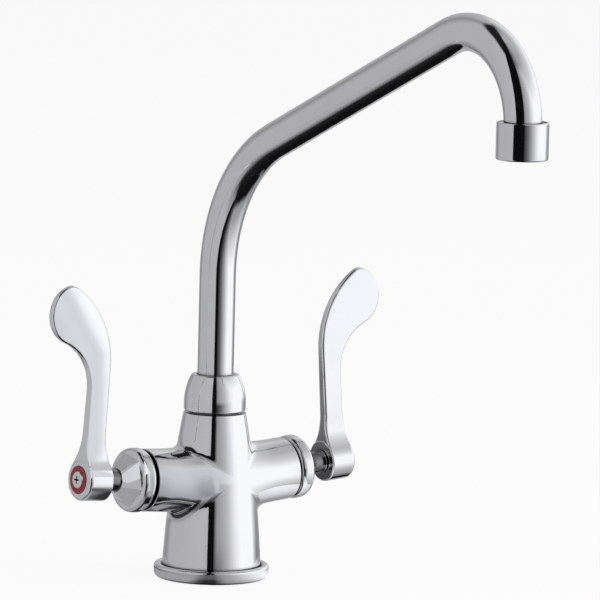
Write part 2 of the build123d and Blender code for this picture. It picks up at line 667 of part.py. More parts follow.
def blade_profile():
    """Side view of the blade: two faces that lean together and spread into the hub by hollow arcs."""
    across = BLADE_THICKNESS / 2 + BLADE_FLARE
    centre = Vector(across, sqrt((HUB_RADIUS + BLADE_FLARE) ** 2 - across ** 2))
    touch = centre.normalized() * HUB_RADIUS
    lean = radians(BLADE_LEAN)
    flat = centre - Vector(cos(lean), sin(lean)) * BLADE_FLARE
    middle = centre + ((touch + flat) / 2 - centre).normalized() * BLADE_FLARE
    top = HANDLE_LENGTH + PAST
    tip = flat.X - (top - flat.Y) * tan(lean)
    right = [Line((touch.X, 0), touch), ThreePointArc(touch, middle, flat), Line(flat, (tip, top))]
    left = [mirror(edge, about=Plane.YZ) for edge in right]
    caps = [Line((-tip, top), (tip, top)), Line((-touch.X, 0), (touch.X, 0))]
    return make_face(Curve() + right + left + caps)


def blade():
    """Flat paddle with rounded edges that stands on the hub."""
    front = extrude(Plane.XZ * blade_outline(), HUB_RADIUS, both=True)
    side = extrude(Plane.YZ * blade_profile(), HANDLE_LENGTH, both=True)
    solid = front & side
    clear = BLADE_THICKNESS / 4
    tip = BLADE_THICKNESS - 2 * HANDLE_LENGTH * tan(radians(BLADE_LEAN))
    edges = [e for e in solid.edges() if abs(e.center().Y) > clear / 2 and e.center().Z > clear]
    return fillet(edges, min(BLADE_ROUND, ROUND_SHARE * tip))


def handle():
    """Chromed blade and hub with a square socket, a screw hole and the index recess."""
    hub = turned([
        (HUB_START, 0), (HUB_START, HUB_RADIUS, HUB_BACK_ROUND), (HUB_END, HUB_RADIUS, HUB_ROUND),
        (HUB_END, 0),
    ], OUT)
    body = hub + Pos(HUB_MIDDLE, 0, 0) * blade()
    socket_width = SQUARE + 2 * SLIP
    socket_length = SQUARE_END + SLIP - HUB_START + PAST
    socket_middle = SQUARE_END + SLIP - socket_length / 2
    body -= Pos(socket_middle, 0, 0) * Box(socket_length, socket_width, socket_width)
    body -= rod(SCREW_RADIUS + SCREW_GAP, HUB_START, HUB_END, OUT)
    body -= rod(SCREW_HEAD_RADIUS + SLIP, HEAD_SEAT, HUB_END + PAST, OUT)
    return body - rod(INDEX_RADIUS + SLIP, INDEX_START, HUB_END + PAST, OUT)


def index_ring():
    return ring(SCREW_HEAD_RADIUS + SLIP, INDEX_RADIUS, INDEX_START, HUB_END + INDEX_PROUD, OUT)


def handle_screw():
    """Round-headed screw with a cross recess, drawn into the end of the spindle."""
    end = HUB_END + SCREW_PROUD
    screw = turned([
        (HEAD_SEAT, 0), (HEAD_SEAT, SCREW_HEAD_RADIUS), (end, SCREW_HEAD_RADIUS, SCREW_PROUD),
        (end, 0),
    ], OUT)
    screw += rod(SCREW_RADIUS, HEAD_SEAT - SCREW_LENGTH, HEAD_SEAT + PAST, OUT)
    for width, height in ((RECESS_LENGTH, RECESS_WIDTH), (RECESS_WIDTH, RECESS_LENGTH)):
        screw -= Pos(end, 0, 0) * Box(2 * RECESS_DEPTH, width, height)
    return screw


SINGLE_PIECES = {
    "body_casting": body_casting,
    "base_gasket": base_gasket,
    "mounting_shank": mounting_shank,
    "deck_rubber_washer": rubber_washer,
    "deck_steel_washer": steel_washer,
    "mounting_nut": mounting_nut,
    "spout_collar_nut": collar_nut,
    "spout_bearing_washer": bearing_washer,
    "spout_swivel_stub": swivel_stub,
    "spout_o_rings": spout_o_rings,
    "spout_tube": spout_tube,
    "outlet_sleeve": outlet_sleeve,
    "aerator_housing": aerator_housing,
    "aerator_insert": aerator_insert,
    "aerator_screen": aerator_screen,
    "aerator_washer": aerator_washer,
}

ARM_PIECES = {
    "seat_seal": seat_seal,
    "fixed_disc": fixed_disc,
    "moving_disc": moving_disc,
    "cartridge_body": cartridge_body,
    "cartridge_o_ring": cartridge_o_ring,
    "bonnet_nut": bonnet_nut,
    "spindle": spindle,
    "spindle_o_rings": spindle_o_rings,
    "spindle_clip": spindle_clip,
    "handle": handle,
    "handle_screw": handle_screw,
    "index_ring": index_ring,
}


def main():
    """Write one file for each piece; the pieces on the arms are made once and placed twice."""
    os.makedirs("parts", exist_ok=True)
    for name, make in SINGLE_PIECES.items():
        export_step(make(), f"parts/{name}.step")
    for name, make in ARM_PIECES.items():
        piece = make()
        export_step(on_arm(piece, HOT), f"parts/hot_{name}.step")
        export_step(on_arm(piece, COLD), f"parts/cold_{name}.step")


if __name__ == "__main__":
    main()
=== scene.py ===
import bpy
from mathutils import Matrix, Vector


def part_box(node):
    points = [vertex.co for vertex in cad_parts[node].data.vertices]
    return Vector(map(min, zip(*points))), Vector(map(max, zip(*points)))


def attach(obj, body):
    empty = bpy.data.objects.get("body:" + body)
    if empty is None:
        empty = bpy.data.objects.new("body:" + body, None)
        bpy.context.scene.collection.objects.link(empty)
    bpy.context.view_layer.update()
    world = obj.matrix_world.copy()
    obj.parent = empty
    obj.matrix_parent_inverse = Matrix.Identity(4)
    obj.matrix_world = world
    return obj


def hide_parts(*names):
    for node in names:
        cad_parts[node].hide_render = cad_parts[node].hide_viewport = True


bl_info = {
    "name": "Deck Mount Faucet",
    "version": (1, 0, 0),
    "blender": (4, 5, 0),
    "location": "View3D > Sidebar > Faucet",
    "description":
        "Finishes, screw thread and studio for a two-handle kitchen faucet with a bent swivel spout",
    "category": "Object",
}

from math import cos, pi, radians, sin, tan

import bmesh
import bpy
from bpy.props import FloatProperty, FloatVectorProperty, IntProperty, PointerProperty
from mathutils import Matrix, Vector

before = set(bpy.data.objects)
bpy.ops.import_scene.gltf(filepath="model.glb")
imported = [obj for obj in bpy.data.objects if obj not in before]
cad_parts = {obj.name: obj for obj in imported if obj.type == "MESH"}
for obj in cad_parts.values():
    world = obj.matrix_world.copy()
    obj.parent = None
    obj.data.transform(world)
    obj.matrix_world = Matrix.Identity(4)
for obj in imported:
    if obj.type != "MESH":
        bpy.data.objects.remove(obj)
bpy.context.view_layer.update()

# Where the photographer stood: degrees, metres and shares of the picture's width
CAMERA_AZIMUTH = -36.01
CAMERA_ELEVATION = 7.27
CAMERA_ROLL = 1.37
CAMERA_PLACE = (-1.87173, -2.63372, 0.55680)
FOCAL_LENGTH_MM = 373.8
SENSOR_WIDTH_MM = 36.0
SHIFT_RIGHT = 0.0287
SHIFT_UP = 0.0082
FAR_CLIP = 20.0

# Shares that dull a finish's colour
HAZED = 0.965       # chrome where the polish left a haze
# The next share is painted shade: what is left of the chrome's colour deep in a crease.
CREASE_SHADE = 0.09      # chrome down in a crease
STAINED = 0.82      # bare metal
CLOUDED = 0.85      # rubber, plastic, enamel and ceramic

WIPE_LINES = (2600.0, 2600.0, 90.0)     # scale of the wipe lines: fine across, long upwards
LINES_IN_GLOSS = 0.35                   # share of the lines in the chrome's uneven gloss, the rest is haze
LINE_HEIGHT = 0.01                      # beside the waves in the plate
RING_HEIGHT = 0.00001                   # rings of the lathe, metres
# The next two set the painted crease shade that ambient occlusion gives.
PAINTED_SHADE_SAMPLES = 6
PAINTED_SHADE_RANGE = (0.45, 0.88)             # openness of a full crease and of plain surface

# Thread on the shank
ROOT_FLAT = 0.12            # flat share of half a turn at the thread's root
FLANK_RISE = 1.35           # steepness of the flanks over half a turn
CLOSING_ROWS = 4            # rows beyond the thread's, over the ends and down the bore
WELD_DISTANCE = 0.000002

# What the chrome reflects
CURTAIN_BLACK = 0.004
BLACK = 0.006


def shank_radius():
    """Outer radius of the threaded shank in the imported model."""
    low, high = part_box("mounting_shank")
    return (high[0] - low[0]) / 2


# Node helpers
def put(tree, socket, value):
    """Set a socket to a plain value, or link it to another node's output."""
    if isinstance(value, bpy.types.NodeSocket):
        tree.links.new(value, socket)
    else:
        socket.default_value = value


def math(tree, operation, first, second=0.0):
    """Number worked out from one or two others."""
    node = tree.nodes.new("ShaderNodeMath")
    node.operation = operation
    put(tree, node.inputs[0], first)
    put(tree, node.inputs[1], second)
    return node.outputs[0]


def ease(tree, value, start, end):
    """Smooth step from 0 at the start to 1 at the end."""
    node = tree.nodes.new("ShaderNodeMapRange")
    node.interpolation_type = "SMOOTHSTEP"
    put(tree, node.inputs["Value"], value)
    rising = end > start
    node.inputs["From Min"].default_value = start if rising else end
    node.inputs["From Max"].default_value = end if rising else start
    node.inputs["To Min"].default_value = 0.0 if rising else 1.0
    node.inputs["To Max"].default_value = 1.0 if rising else 0.0
    return node.outputs["Result"]


def blend(tree, share, first, second):
    """Number or colour between two others."""
    node = tree.nodes.new("ShaderNodeMix")
    node.data_type = "RGBA"
    put(tree, node.inputs[0], share)
    put(tree, node.inputs[6], first)
    put(tree, node.inputs[7], second)
    return node.outputs[2]


def combine(tree, mode, first, second):
    """Two colours put together with one of the Mix node's modes."""
    mix = tree.nodes.new("ShaderNodeMix")
    mix.data_type = "RGBA"
    mix.blend_type = mode
    mix.inputs[0].default_value = 1.0
    put(tree, mix.inputs[6], first)
    put(tree, mix.inputs[7], second)
    return mix.outputs[2]


def gradient(tree, value, stops):
    """Colour ramp over a number; each stop is a place in the number's unit and a colour."""
    low, high = stops[0][0], stops[-1][0]
    place = tree.nodes.new("ShaderNodeMapRange")
    put(tree, place.inputs["Value"], value)
    place.inputs["From Min"].default_value = low
    place.inputs["From Max"].default_value = high
    ramp = tree.nodes.new("ShaderNodeValToRGB")
    tree.links.new(place.outputs["Result"], ramp.inputs["Fac"])
    band = ramp.color_ramp
    while len(band.elements) < len(stops):
        band.elements.new(1.0)
    for element, (spot, colour) in zip(band.elements, stops):
        element.position = (spot - low) / (high - low)
        element.color = (*colour, 1.0)
    return ramp.outputs["Color"]


def greys(tree, value, stops, blue=1.03):
    """Colour ramp of cool greys; each stop is a place and a brightness."""
    return gradient(tree, value, [(spot, (level, level, level * blue)) for spot, level in stops])


def noise(tree, coordinates, scale, detail=3.0):
    """Cloudy number around a half."""
    node = tree.nodes.new("ShaderNodeTexNoise")
    tree.links.new(coordinates, node.inputs["Vector"])
    put(tree, node.inputs["Scale"], scale)
    node.inputs["Detail"].default_value = detail
    return node.outputs["Fac"]


def object_coordinates(tree):
    """Place on the piece, in metres of the shared frame."""
    return tree.nodes.new("ShaderNodeTexCoord").outputs["Object"]


def axes(tree, vector):
    """X, Y and Z of a vector."""
    split = tree.nodes.new("ShaderNodeSeparateXYZ")
    tree.links.new(vector, split.inputs["Vector"])
    return split.outputs


def ray_length(tree):
    """How far the reflected ray has come, in metres."""
    return tree.nodes.new("ShaderNodeLightPath").outputs["Ray Length"]


def new_group(name, numbers, results):
    """Empty shader node group with a vector and named numbers in, and named numbers out."""
    tree = bpy.data.node_groups.new(name, "ShaderNodeTree")
    tree.interface.new_socket("Vector", in_out="INPUT", socket_type="NodeSocketVector")
    for label, value in numbers.items():
        socket = tree.interface.new_socket(label, in_out="INPUT", socket_type="NodeSocketFloat")
        socket.default_value = value
    for label in results:
        tree.interface.new_socket(label, in_out="OUTPUT", socket_type="NodeSocketFloat")
    return tree, tree.nodes.new("NodeGroupInput").outputs, tree.nodes.new("NodeGroupOutput").inputs


def use_group(tree, group, values):
    """Place a node group with its own values."""
    node = tree.nodes.new("ShaderNodeGroup")
    node.node_tree = group
    for label, value in values.items():
        put(tree, node.inputs[label], value)
    return node.outputs


def put_gloss(tree, given, result, uneven):
    """A group's roughness: its base and an uneven share of its spread."""
    rough = math(tree, "MULTIPLY", uneven, given["Spread"])
    put(tree, result["Roughness"], math(tree, "ADD", rough, given["Roughness"]))


# Shared surface effects
def polish_group():
    """Marks of hand polishing: soft waves in the plate, fine wipe lines and uneven gloss."""
    tree, given, result = new_group(
        "Polish", {"Wave Scale": 60.0, "Roughness": 0.04, "Spread": 0.03}, ("Roughness", "Height", "Haze"))
    vector = given["Vector"]
    waves = noise(tree, vector, given["Wave Scale"], 1.0)
    squeeze = tree.nodes.new("ShaderNodeMapping")
    squeeze.inputs["Scale"].default_value = WIPE_LINES
    tree.links.new(vector, squeeze.inputs["Vector"])
    lines = noise(tree, squeeze.outputs["Vector"], 1.0, 2.0)
    haze = ease(tree, noise(tree, vector, 35.0, 4.0), 0.45, 0.75)
    put_gloss(tree, given, result, math(
        tree, "ADD", math(tree, "MULTIPLY", lines, LINES_IN_GLOSS),
        math(tree, "MULTIPLY", haze, 1 - LINES_IN_GLOSS)))
    put(tree, result["Height"], math(tree, "ADD", waves, math(tree, "MULTIPLY", lines, LINE_HEIGHT)))
    put(tree, result["Haze"], haze)
    return tree


def turning_group():
    """Rings that a lathe tool leaves, with noise, along one coordinate."""
    tree, given, result = new_group(
        "Turning", {"Along": 0.0, "Pitch": 0.0003, "Roughness": 0.25, "Spread": 0.15},
        ("Roughness", "Height", "Stain"))
    turns = math(tree, "DIVIDE", given["Along"], given["Pitch"])
    phase = math(tree, "ADD", turns, noise(tree, given["Vector"], 300.0, 2.0))
    rings = math(tree, "ABSOLUTE", math(tree, "SINE", math(tree, "MULTIPLY", phase, pi)))
    stain = ease(tree, noise(tree, given["Vector"], 70.0, 5.0), 0.4, 0.7)
    put_gloss(tree, given, result, math(
        tree, "ADD", math(tree, "MULTIPLY", rings, 0.5), math(tree, "MULTIPLY", stain, 0.5)))
    put(tree, result["Height"], rings)
    put(tree, result["Stain"], stain)
    return tree


def moulding_group():
    """Fine grain and faint cloudiness of a moulded or pressed piece."""
    tree, given, result = new_group(
        "Moulding", {"Grain Scale": 2500.0, "Roughness": 0.5, "Spread": 0.15},
        ("Roughness", "Height", "Cloud"))
    cloud = noise(tree, given["Vector"], 120.0, 4.0)
    put_gloss(tree, given, result, cloud)
    put(tree, result["Height"], noise(tree, given["Vector"], given["Grain Scale"], 2.0))
    put(tree, result["Cloud"], cloud)
    return tree


GROUP_MAKERS = {"Polish": polish_group, "Turning": turning_group, "Moulding": moulding_group}


def shared_group(name):
    """A surface effect, built the first time that a finish asks for it."""
    return bpy.data.node_groups.get(name) or GROUP_MAKERS[name]()


# Finishes
def new_finish(name, metallic):
    """Material with one Principled shader."""
    material = bpy.data.materials.new(name)
    material.use_nodes = True
    tree = material.node_tree
    shader = tree.nodes["Principled BSDF"]
    shader.inputs["Metallic"].default_value = metallic
    return material, tree, shader


def add_bump(tree, shader, height, distance, strength=1.0):
    """Let a height shape the shader's normal."""
    bump = tree.nodes.new("ShaderNodeBump")
    bump.inputs["Distance"].default_value = distance
    bump.inputs["Strength"].default_value = strength
    tree.links.new(height, bump.inputs["Height"])
    tree.links.new(bump.outputs["Normal"], shader.inputs["Normal"])


def darker(colour, share):
    """A colour with a share of its brightness."""
    return tuple(channel * share for channel in colour)


def painted_crease_shade(tree, reach):
    """Painted shade: 1 on open surface, falling to 0 in narrow creases and grooves, read from ambient
    occlusion within the reach.
    """
    node = tree.nodes.new("ShaderNodeAmbientOcclusion")
    node.samples = PAINTED_SHADE_SAMPLES
    node.inputs["Distance"].default_value = reach
    return ease(tree, node.outputs["AO"], *PAINTED_SHADE_RANGE)


def chrome_plate(name, colour, wave_scale, wave_height, roughness, spread, reach=0.0022):
    """Polished chrome plate over a cast or drawn metal, with shade painted dull and dark into its creases.
    """
    material, tree, shader = new_finish(name, 1.0)
    polish = use_group(tree, shared_group("Polish"), {
        "Vector": object_coordinates(tree), "Wave Scale": wave_scale,
        "Roughness": roughness, "Spread": spread,
    })
    tint = blend(tree, polish["Haze"], (*colour, 1.0), (*darker(colour, HAZED), 1.0))
    # Painted shade: the colour falls to the dark crease colour where ambient occlusion finds a crease
    # within the reach.
    crease_shade_colour = (*darker(colour, CREASE_SHADE), 1.0)
    put(tree, shader.inputs["Base Color"], blend(tree, painted_crease_shade(tree, reach), crease_shade_colour, tint))
    put(tree, shader.inputs["Roughness"], polish["Roughness"])
    add_bump(tree, shader, polish["Height"], wave_height)
    return material


def turned_metal(name, colour, axis, pitch, roughness, spread):
    """Metal with the rings of the lathe along the X, Y or Z axis."""
    material, tree, shader = new_finish(name, 1.0)
    where = object_coordinates(tree)
    turning = use_group(tree, shared_group("Turning"), {
        "Vector": where, "Along": axes(tree, where)[axis], "Pitch": pitch,
        "Roughness": roughness, "Spread": spread,
    })
    tint = blend(tree, turning["Stain"], (*colour, 1.0), (*darker(colour, STAINED), 1.0))
    put(tree, shader.inputs["Base Color"], tint)
    put(tree, shader.inputs["Roughness"], turning["Roughness"])
    add_bump(tree, shader, turning["Height"], RING_HEIGHT, 0.5)
    return material


def moulded(name, colour, grain_scale, grain_height, roughness, spread, coat=0.0):
    """Rubber, plastic, enamel or ceramic."""
    material, tree, shader = new_finish(name, 0.0)
    moulding = use_group(tree, shared_group("Moulding"), {
        "Vector": object_coordinates(tree), "Grain Scale": grain_scale,
        "Roughness": roughness, "Spread": spread,
    })
    tint = blend(tree, moulding["Cloud"], (*darker(colour, CLOUDED), 1.0), (*colour, 1.0))
    put(tree, shader.inputs["Base Color"], tint)
    put(tree, shader.inputs["Roughness"], moulding["Roughness"])
    shader.inputs["Coat Weight"].default_value = coat
    add_bump(tree, shader, moulding["Height"], grain_height, 0.4)
    return material


# Each finish: what makes it, the colour it takes, that colour's share, and its surface. Scales are in
# features to the metre, heights and pitches in metres.
FINISHES = {
    "Chrome cast": (chrome_plate, "chrome", 1.0, dict(
        wave_scale=55.0, wave_height=0.00006, roughness=0.035, spread=0.035)),
    "Chrome drawn": (chrome_plate, "chrome", 1.0, dict(
        wave_scale=30.0, wave_height=0.00002, roughness=0.02, spread=0.025)),
    "Chrome forged": (chrome_plate, "chrome", 1.0, dict(
        wave_scale=70.0, wave_height=0.00005, roughness=0.05, spread=0.04)),
    "Chrome turned": (chrome_plate, "chrome", 1.0, dict(
        wave_scale=120.0, wave_height=0.00001, roughness=0.03, spread=0.03)),
    # The nuts' painted crease shade reaches farther, down into the groove beside the hexagon.
    "Chrome nut": (chrome_plate, "chrome", 1.0, dict(
        wave_scale=120.0, wave_height=0.00001, roughness=0.03, spread=0.03, reach=0.0045)),
    "Brass upright": (turned_metal, "brass", 1.0, dict(
        axis="Z", pitch=0.0004, roughness=0.2, spread=0.15)),
    # The neck keeps only 0.3 of the chrome's colour: painted shade that stands for the dark nut and hub it
    # would reflect.
    "Plated neck": (turned_metal, "chrome", 0.3, dict(
        axis="X", pitch=0.0006, roughness=0.08, spread=0.08)),
    "Steel along arm": (turned_metal, "steel", 1.0, dict(
        axis="X", pitch=0.0003, roughness=0.18, spread=0.12)),
    "Steel pressed": (turned_metal, "steel", 1.0, dict(
        axis="Y", pitch=0.0005, roughness=0.3, spread=0.15)),
    "Black rubber": (moulded, "rubber", 1.0, dict(
        grain_scale=2200.0, grain_height=0.00003, roughness=0.55, spread=0.2)),
    "White ceramic": (moulded, "ceramic", 1.0, dict(
        grain_scale=5000.0, grain_height=0.000002, roughness=0.12, spread=0.1)),
    "White plastic": (moulded, "plastic", 1.0, dict(
        grain_scale=1800.0, grain_height=0.00001, roughness=0.38, spread=0.12)),
    "Hot enamel": (moulded, "hot", 1.0, dict(
        grain_scale=900.0, grain_height=0.00001, roughness=0.22, spread=0.12, coat=0.15)),
    "Cold enamel": (moulded, "cold", 1.0, dict(
        grain_scale=900.0, grain_height=0.00001, roughness=0.22, spread=0.12, coat=0.15)),
}


def finish(name):
    """A finish of the faucet, made the first time that a piece asks for it."""
    made = bpy.data.materials.get(name)
    if made:
        return made
    maker, colour, share, surface = FINISHES[name]
    colours = bpy.context.scene.faucet_finish
    return maker(name, darker(tuple(getattr(colours, colour)), share), **surface)


def dress(finish_name, *nodes):
    """Give CAD nodes a finish."""
    for node in nodes:
        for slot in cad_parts[node].material_slots:
            slot.material = finish(finish_name)


def both_arms(*names):
    """The nodes with these names on the hot and on the cold arm."""
    return [f"{side}_{name}" for side in ("hot", "cold") for name in names]


# Sizes and colours that a user would change
class FaucetFinish(bpy.types.PropertyGroup):
    """Colours of the faucet's metals, seals and index rings."""

    chrome: FloatVectorProperty(
        name="Chrome", description="Colour of the chrome plate", subtype="COLOR",
        default=(0.84, 0.845, 0.86), min=0, max=1)
    brass: FloatVectorProperty(
        name="Brass", description="Colour of the bare brass", subtype="COLOR",
        default=(0.72, 0.56, 0.30), min=0, max=1)
    steel: FloatVectorProperty(
        name="Steel", description="Colour of the stainless steel", subtype="COLOR",
        default=(0.62, 0.62, 0.63), min=0, max=1)
    rubber: FloatVectorProperty(
        name="Rubber", description="Colour of the seals and washers", subtype="COLOR",
        default=(0.03, 0.03, 0.03), min=0, max=1)
    ceramic: FloatVectorProperty(
        name="Ceramic", description="Colour of the valve discs", subtype="COLOR",
        default=(0.90, 0.88, 0.84), min=0, max=1)
    plastic: FloatVectorProperty(
        name="Plastic", description="Colour of the aerator's insert", subtype="COLOR",
        default=(0.82, 0.82, 0.80), min=0, max=1)
    hot: FloatVectorProperty(
        name="Hot ring", description="Colour of the hot handle's ring", subtype="COLOR",
        default=(0.26, 0.006, 0.011), min=0, max=1)
    cold: FloatVectorProperty(
        name="Cold ring", description="Colour of the cold handle's ring", subtype="COLOR",
        default=(0.014, 0.06, 0.27), min=0, max=1)


class FaucetThread(bpy.types.PropertyGroup):
    """Sizes of the thread on the mounting shank."""

    radius: FloatProperty(
        name="Radius", description="Outer radius of the thread", subtype="DISTANCE",
        unit="LENGTH", default=shank_radius(), min=0.001)
    bore: FloatProperty(
        name="Bore", description="Radius of the passage for the supplies", subtype="DISTANCE",
        unit="LENGTH", default=0.0124, min=0.001)
    pitch: FloatProperty(
        name="Pitch", description="Height of one turn of the thread", subtype="DISTANCE",
        unit="LENGTH", default=0.0025, min=0.0005)
    depth: FloatProperty(
        name="Depth", description="How deep the thread is cut", subtype="DISTANCE",
        unit="LENGTH", default=0.0011, min=0.0)
    chamfer: FloatProperty(
        name="Chamfer", description="Bevel on the shank's lower end", subtype="DISTANCE",
        unit="LENGTH", default=0.0012, min=0.0)
    around: IntProperty(
        name="Points around", description="Points in one turn", default=72, min=12)
    per_turn: IntProperty(
        name="Rows in a turn", description="Rows of points along one pitch", default=8, min=4)


class FaucetStudio(bpy.types.PropertyGroup):
    """Floor, lamps and the shades that the chrome reflects."""

    floor: FloatVectorProperty(
        name="Floor", description="Colour of the floor", subtype="COLOR",
        default=(0.86, 0.86, 0.86), min=0, max=1)
    ambient: FloatProperty(
        name="Ambient", description="Strength of the even light", default=0.55, min=0)
    lamp_power: FloatProperty(
        name="Lamp", description="Power of the main lamp in watts", default=18.0, min=0)
    grey_wall: FloatProperty(
        name="Grey wall", description="Brightness of the studio's left side", default=0.49, min=0)
    white_wall: FloatProperty(
        name="White wall", description="Brightness of the studio's right side", default=1.12, min=0)


# Studio
def mesh_object(name, points, faces):
    """A mesh in the scene, at the origin."""
    mesh = bpy.data.meshes.new(name)
    mesh.from_pydata(points, [], faces)
    thing = bpy.data.objects.new(name, mesh)
    bpy.context.scene.collection.objects.link(thing)
    return thing


def make_floor(settings):
    """Pale floor that keeps the object's shadow and stays out of the chrome."""
    half, level, speckle_scale, speckle_share, whiteness = 4.0, -0.0003, 12.0, 0.985, 0.9
    corners = [(-half, -half, level), (half, -half, level), (half, half, level), (-half, half, level)]
    floor = mesh_object("floor", corners, [(0, 1, 2, 3)])
    material = bpy.data.materials.new("Floor")
    material.use_nodes = True
    tree = material.node_tree
    tree.nodes.clear()
    output = tree.nodes.new("ShaderNodeOutputMaterial")
    paint = tree.nodes.new("ShaderNodeBsdfDiffuse")
    speckle = noise(tree, object_coordinates(tree), speckle_scale)
    colour = tuple(settings.floor)
    put(tree, paint.inputs["Color"], blend(
        tree, speckle, (*darker(colour, speckle_share), 1.0), (*colour, 1.0)))
    glow = tree.nodes.new("ShaderNodeEmission")
    mix = tree.nodes.new("ShaderNodeMixShader")
    path = tree.nodes.new("ShaderNodeLightPath")
    put(tree, mix.inputs[0], math(tree, "MULTIPLY", path.outputs["Is Camera Ray"], whiteness))
    tree.links.new(paint.outputs[0], mix.inputs[1])
    tree.links.new(glow.outputs[0], mix.inputs[2])
    tree.links.new(mix.outputs[0], output.inputs["Surface"])
    floor.data.materials.append(material)
    floor.visible_glossy = False


def photo_azimuth(tree, x, y):
    """Azimuth in degrees of a direction; 0 is the photographer, positive to the picture's right."""
    turn = radians(CAMERA_AZIMUTH)
    across = math(tree, "ADD", math(tree, "MULTIPLY", x, cos(turn)), math(tree, "MULTIPLY", y, sin(turn)))
    toward = math(
        tree, "SUBTRACT", math(tree, "MULTIPLY", x, sin(turn)), math(tree, "MULTIPLY", y, cos(turn)))
    return math(tree, "DEGREES", math(tree, "ARCTAN2", across, toward))


def photo_direction(azimuth, distance, height):
    """Point at an azimuth from the photographer's direction, positive to the picture's right."""
    angle = radians(CAMERA_AZIMUTH + azimuth)
    return (distance * sin(angle), -distance * cos(angle), height)


def only_in_reflections(thing, shade, reach=0.0, cover=None):
    """A card that only chrome sees, and with a reach only chrome that is nearer and on its front."""
    material = bpy.data.materials.new(thing.name)
    material.use_nodes = True
    tree = material.node_tree
    tree.nodes.clear()
    output = tree.nodes.new("ShaderNodeOutputMaterial")
    glow = tree.nodes.new("ShaderNodeEmission")
    put(tree, glow.inputs["Color"], shade(tree))
    surface = glow.outputs[0]
    if reach:
        side = tree.nodes.new("ShaderNodeNewGeometry")
        near = ease(tree, ray_length(tree), reach, reach * 0.8)
        shown = math(tree, "MULTIPLY", near, math(tree, "SUBTRACT", 1.0, side.outputs["Backfacing"]))
        if cover:
            shown = math(tree, "MULTIPLY", shown, cover(tree))
        mix = tree.nodes.new("ShaderNodeMixShader")
        clear = tree.nodes.new("ShaderNodeBsdfTransparent")
        put(tree, mix.inputs[0], shown)
        tree.links.new(clear.outputs[0], mix.inputs[1])
        tree.links.new(surface, mix.inputs[2])
        surface = mix.outputs[0]
    tree.links.new(surface, output.inputs["Surface"])
    thing.data.materials.append(material)
    thing.visible_camera = False
    thing.visible_diffuse = False
    thing.visible_shadow = False
    thing.visible_transmission = False
    thing.visible_volume_scatter = False


def even_shade(level):
    """One dark shade all over a card."""
    return lambda tree: (level, level, level * 1.02, 1.0)


def ground_shade(tree):
    """Grey to the left of the body, dark towards the camera, light to the right, black under the arms."""
    where = object_coordinates(tree)
    x, y, _ = axes(tree, where)
    azimuth = photo_azimuth(tree, x, y)
    length = tree.nodes.new("ShaderNodeVectorMath")
    length.operation = "LENGTH"
    tree.links.new(where, length.inputs[0])
    distance = length.outputs["Value"]
    at_foot, farther = (greys(tree, azimuth, [
        (-180, 0.35), (-60, 0.40), (-26, 0.38), (-14, dark + 0.06), (-7, dark), (5, dark), (18, 0.33),
        (36, 0.48), (63, 0.85), (93, 1.12), (115, 0.8), (138, 0.33), (180, 0.35),
    ]) for dark in (0.03, 0.13))
    level = blend(tree, ease(tree, distance, 0.045, 0.055), at_foot, farther)
    from_above = ease(tree, ray_length(tree), 0.026, 0.034)
    wider_on_left = math(tree, "MULTIPLY", ease(tree, azimuth, 40.0, -20.0), 0.008)
    under_arms = ease(tree, math(tree, "SUBTRACT", distance, wider_on_left), 0.054, 0.040)
    shadow = math(tree, "MULTIPLY", math(tree, "MULTIPLY", from_above, under_arms), 0.92)
    return blend(tree, shadow, level, (BLACK, BLACK, BLACK, 1.0))


def arm_card_shade(tree):
    """Lavender that falls off away from the body and towards the ground."""
    _, y, z = axes(tree, object_coordinates(tree))
    along = gradient(tree, y, [
        (-0.12, (0.52, 0.53, 0.57)), (-0.075, (0.49, 0.50, 0.54)), (-0.058, (0.66, 0.67, 0.72)),
        (-0.03, (0.69, 0.70, 0.75)),
    ])
    up = greys(tree, z, [
        (-0.02, 0.4), (0.0, 0.55), (0.03, 0.82), (0.055, 1.0), (0.09, 1.0), (0.12, 0.8)], blue=1.0)
    return combine(tree, "MULTIPLY", along, up)


def blade_card_shade(tree):
    """Lavender that brightens towards the body, along a slant in its upper part."""
    slant, slant_foot = 0.6, 0.12
    x, _, z = axes(tree, object_coordinates(tree))
    past = math(tree, "MAXIMUM", math(tree, "SUBTRACT", z, slant_foot), 0.0)
    across = math(tree, "ADD", x, math(tree, "MULTIPLY", past, slant))
    return gradient(tree, across, [(spot, (level, level * 1.01, level * 1.05)) for spot, level in (
        (-0.092, 0.72), (-0.08, 0.73), (-0.07, 0.81), (-0.0635, 0.77), (-0.0605, 0.84), (-0.0575, 1.03),
        (-0.0535, 1.14), (-0.05, 1.14))])


def hub_card_shade(tree):
    """Dark beside the cold hub, grey farther up."""
    return greys(tree, axes(tree, object_coordinates(tree))["Z"], [
        (0.03, 0.05), (0.05, 0.09), (0.065, 0.16), (0.08, 0.2), (0.09, 0.18), (0.1, 0.24), (0.11, 0.34),
        (0.16, 0.44)])


def spout_card_shade(tree):
    """Black under the slope of the spout, grey farther to the left."""
    return greys(tree, axes(tree, object_coordinates(tree))["X"], [
        (-0.09, 0.46), (-0.027, 0.46), (-0.018, 0.25), (-0.012, 0.02), (0.0, BLACK), (0.05, BLACK)])


def fading_from(start, stop):
    """A card's cover that sets in between two places along Y."""
    return lambda tree: ease(tree, axes(tree, object_coordinates(tree))["Y"], start, stop)


def only_from_afar(tree):
    """A card's cover that leaves out the chrome right beside it."""
    return ease(tree, ray_length(tree), 0.04, 0.05)


def add_card(name, corner, first_edge, second_edge, **look):
    """A card from one corner along two edges, facing the way that their cross product points."""
    corner, first_edge, second_edge = Vector(corner), Vector(first_edge), Vector(second_edge)
    corners = [corner, corner + first_edge, corner + first_edge + second_edge, corner + second_edge]
    only_in_reflections(mesh_object(name, corners, [(0, 1, 2, 3)]), **look)


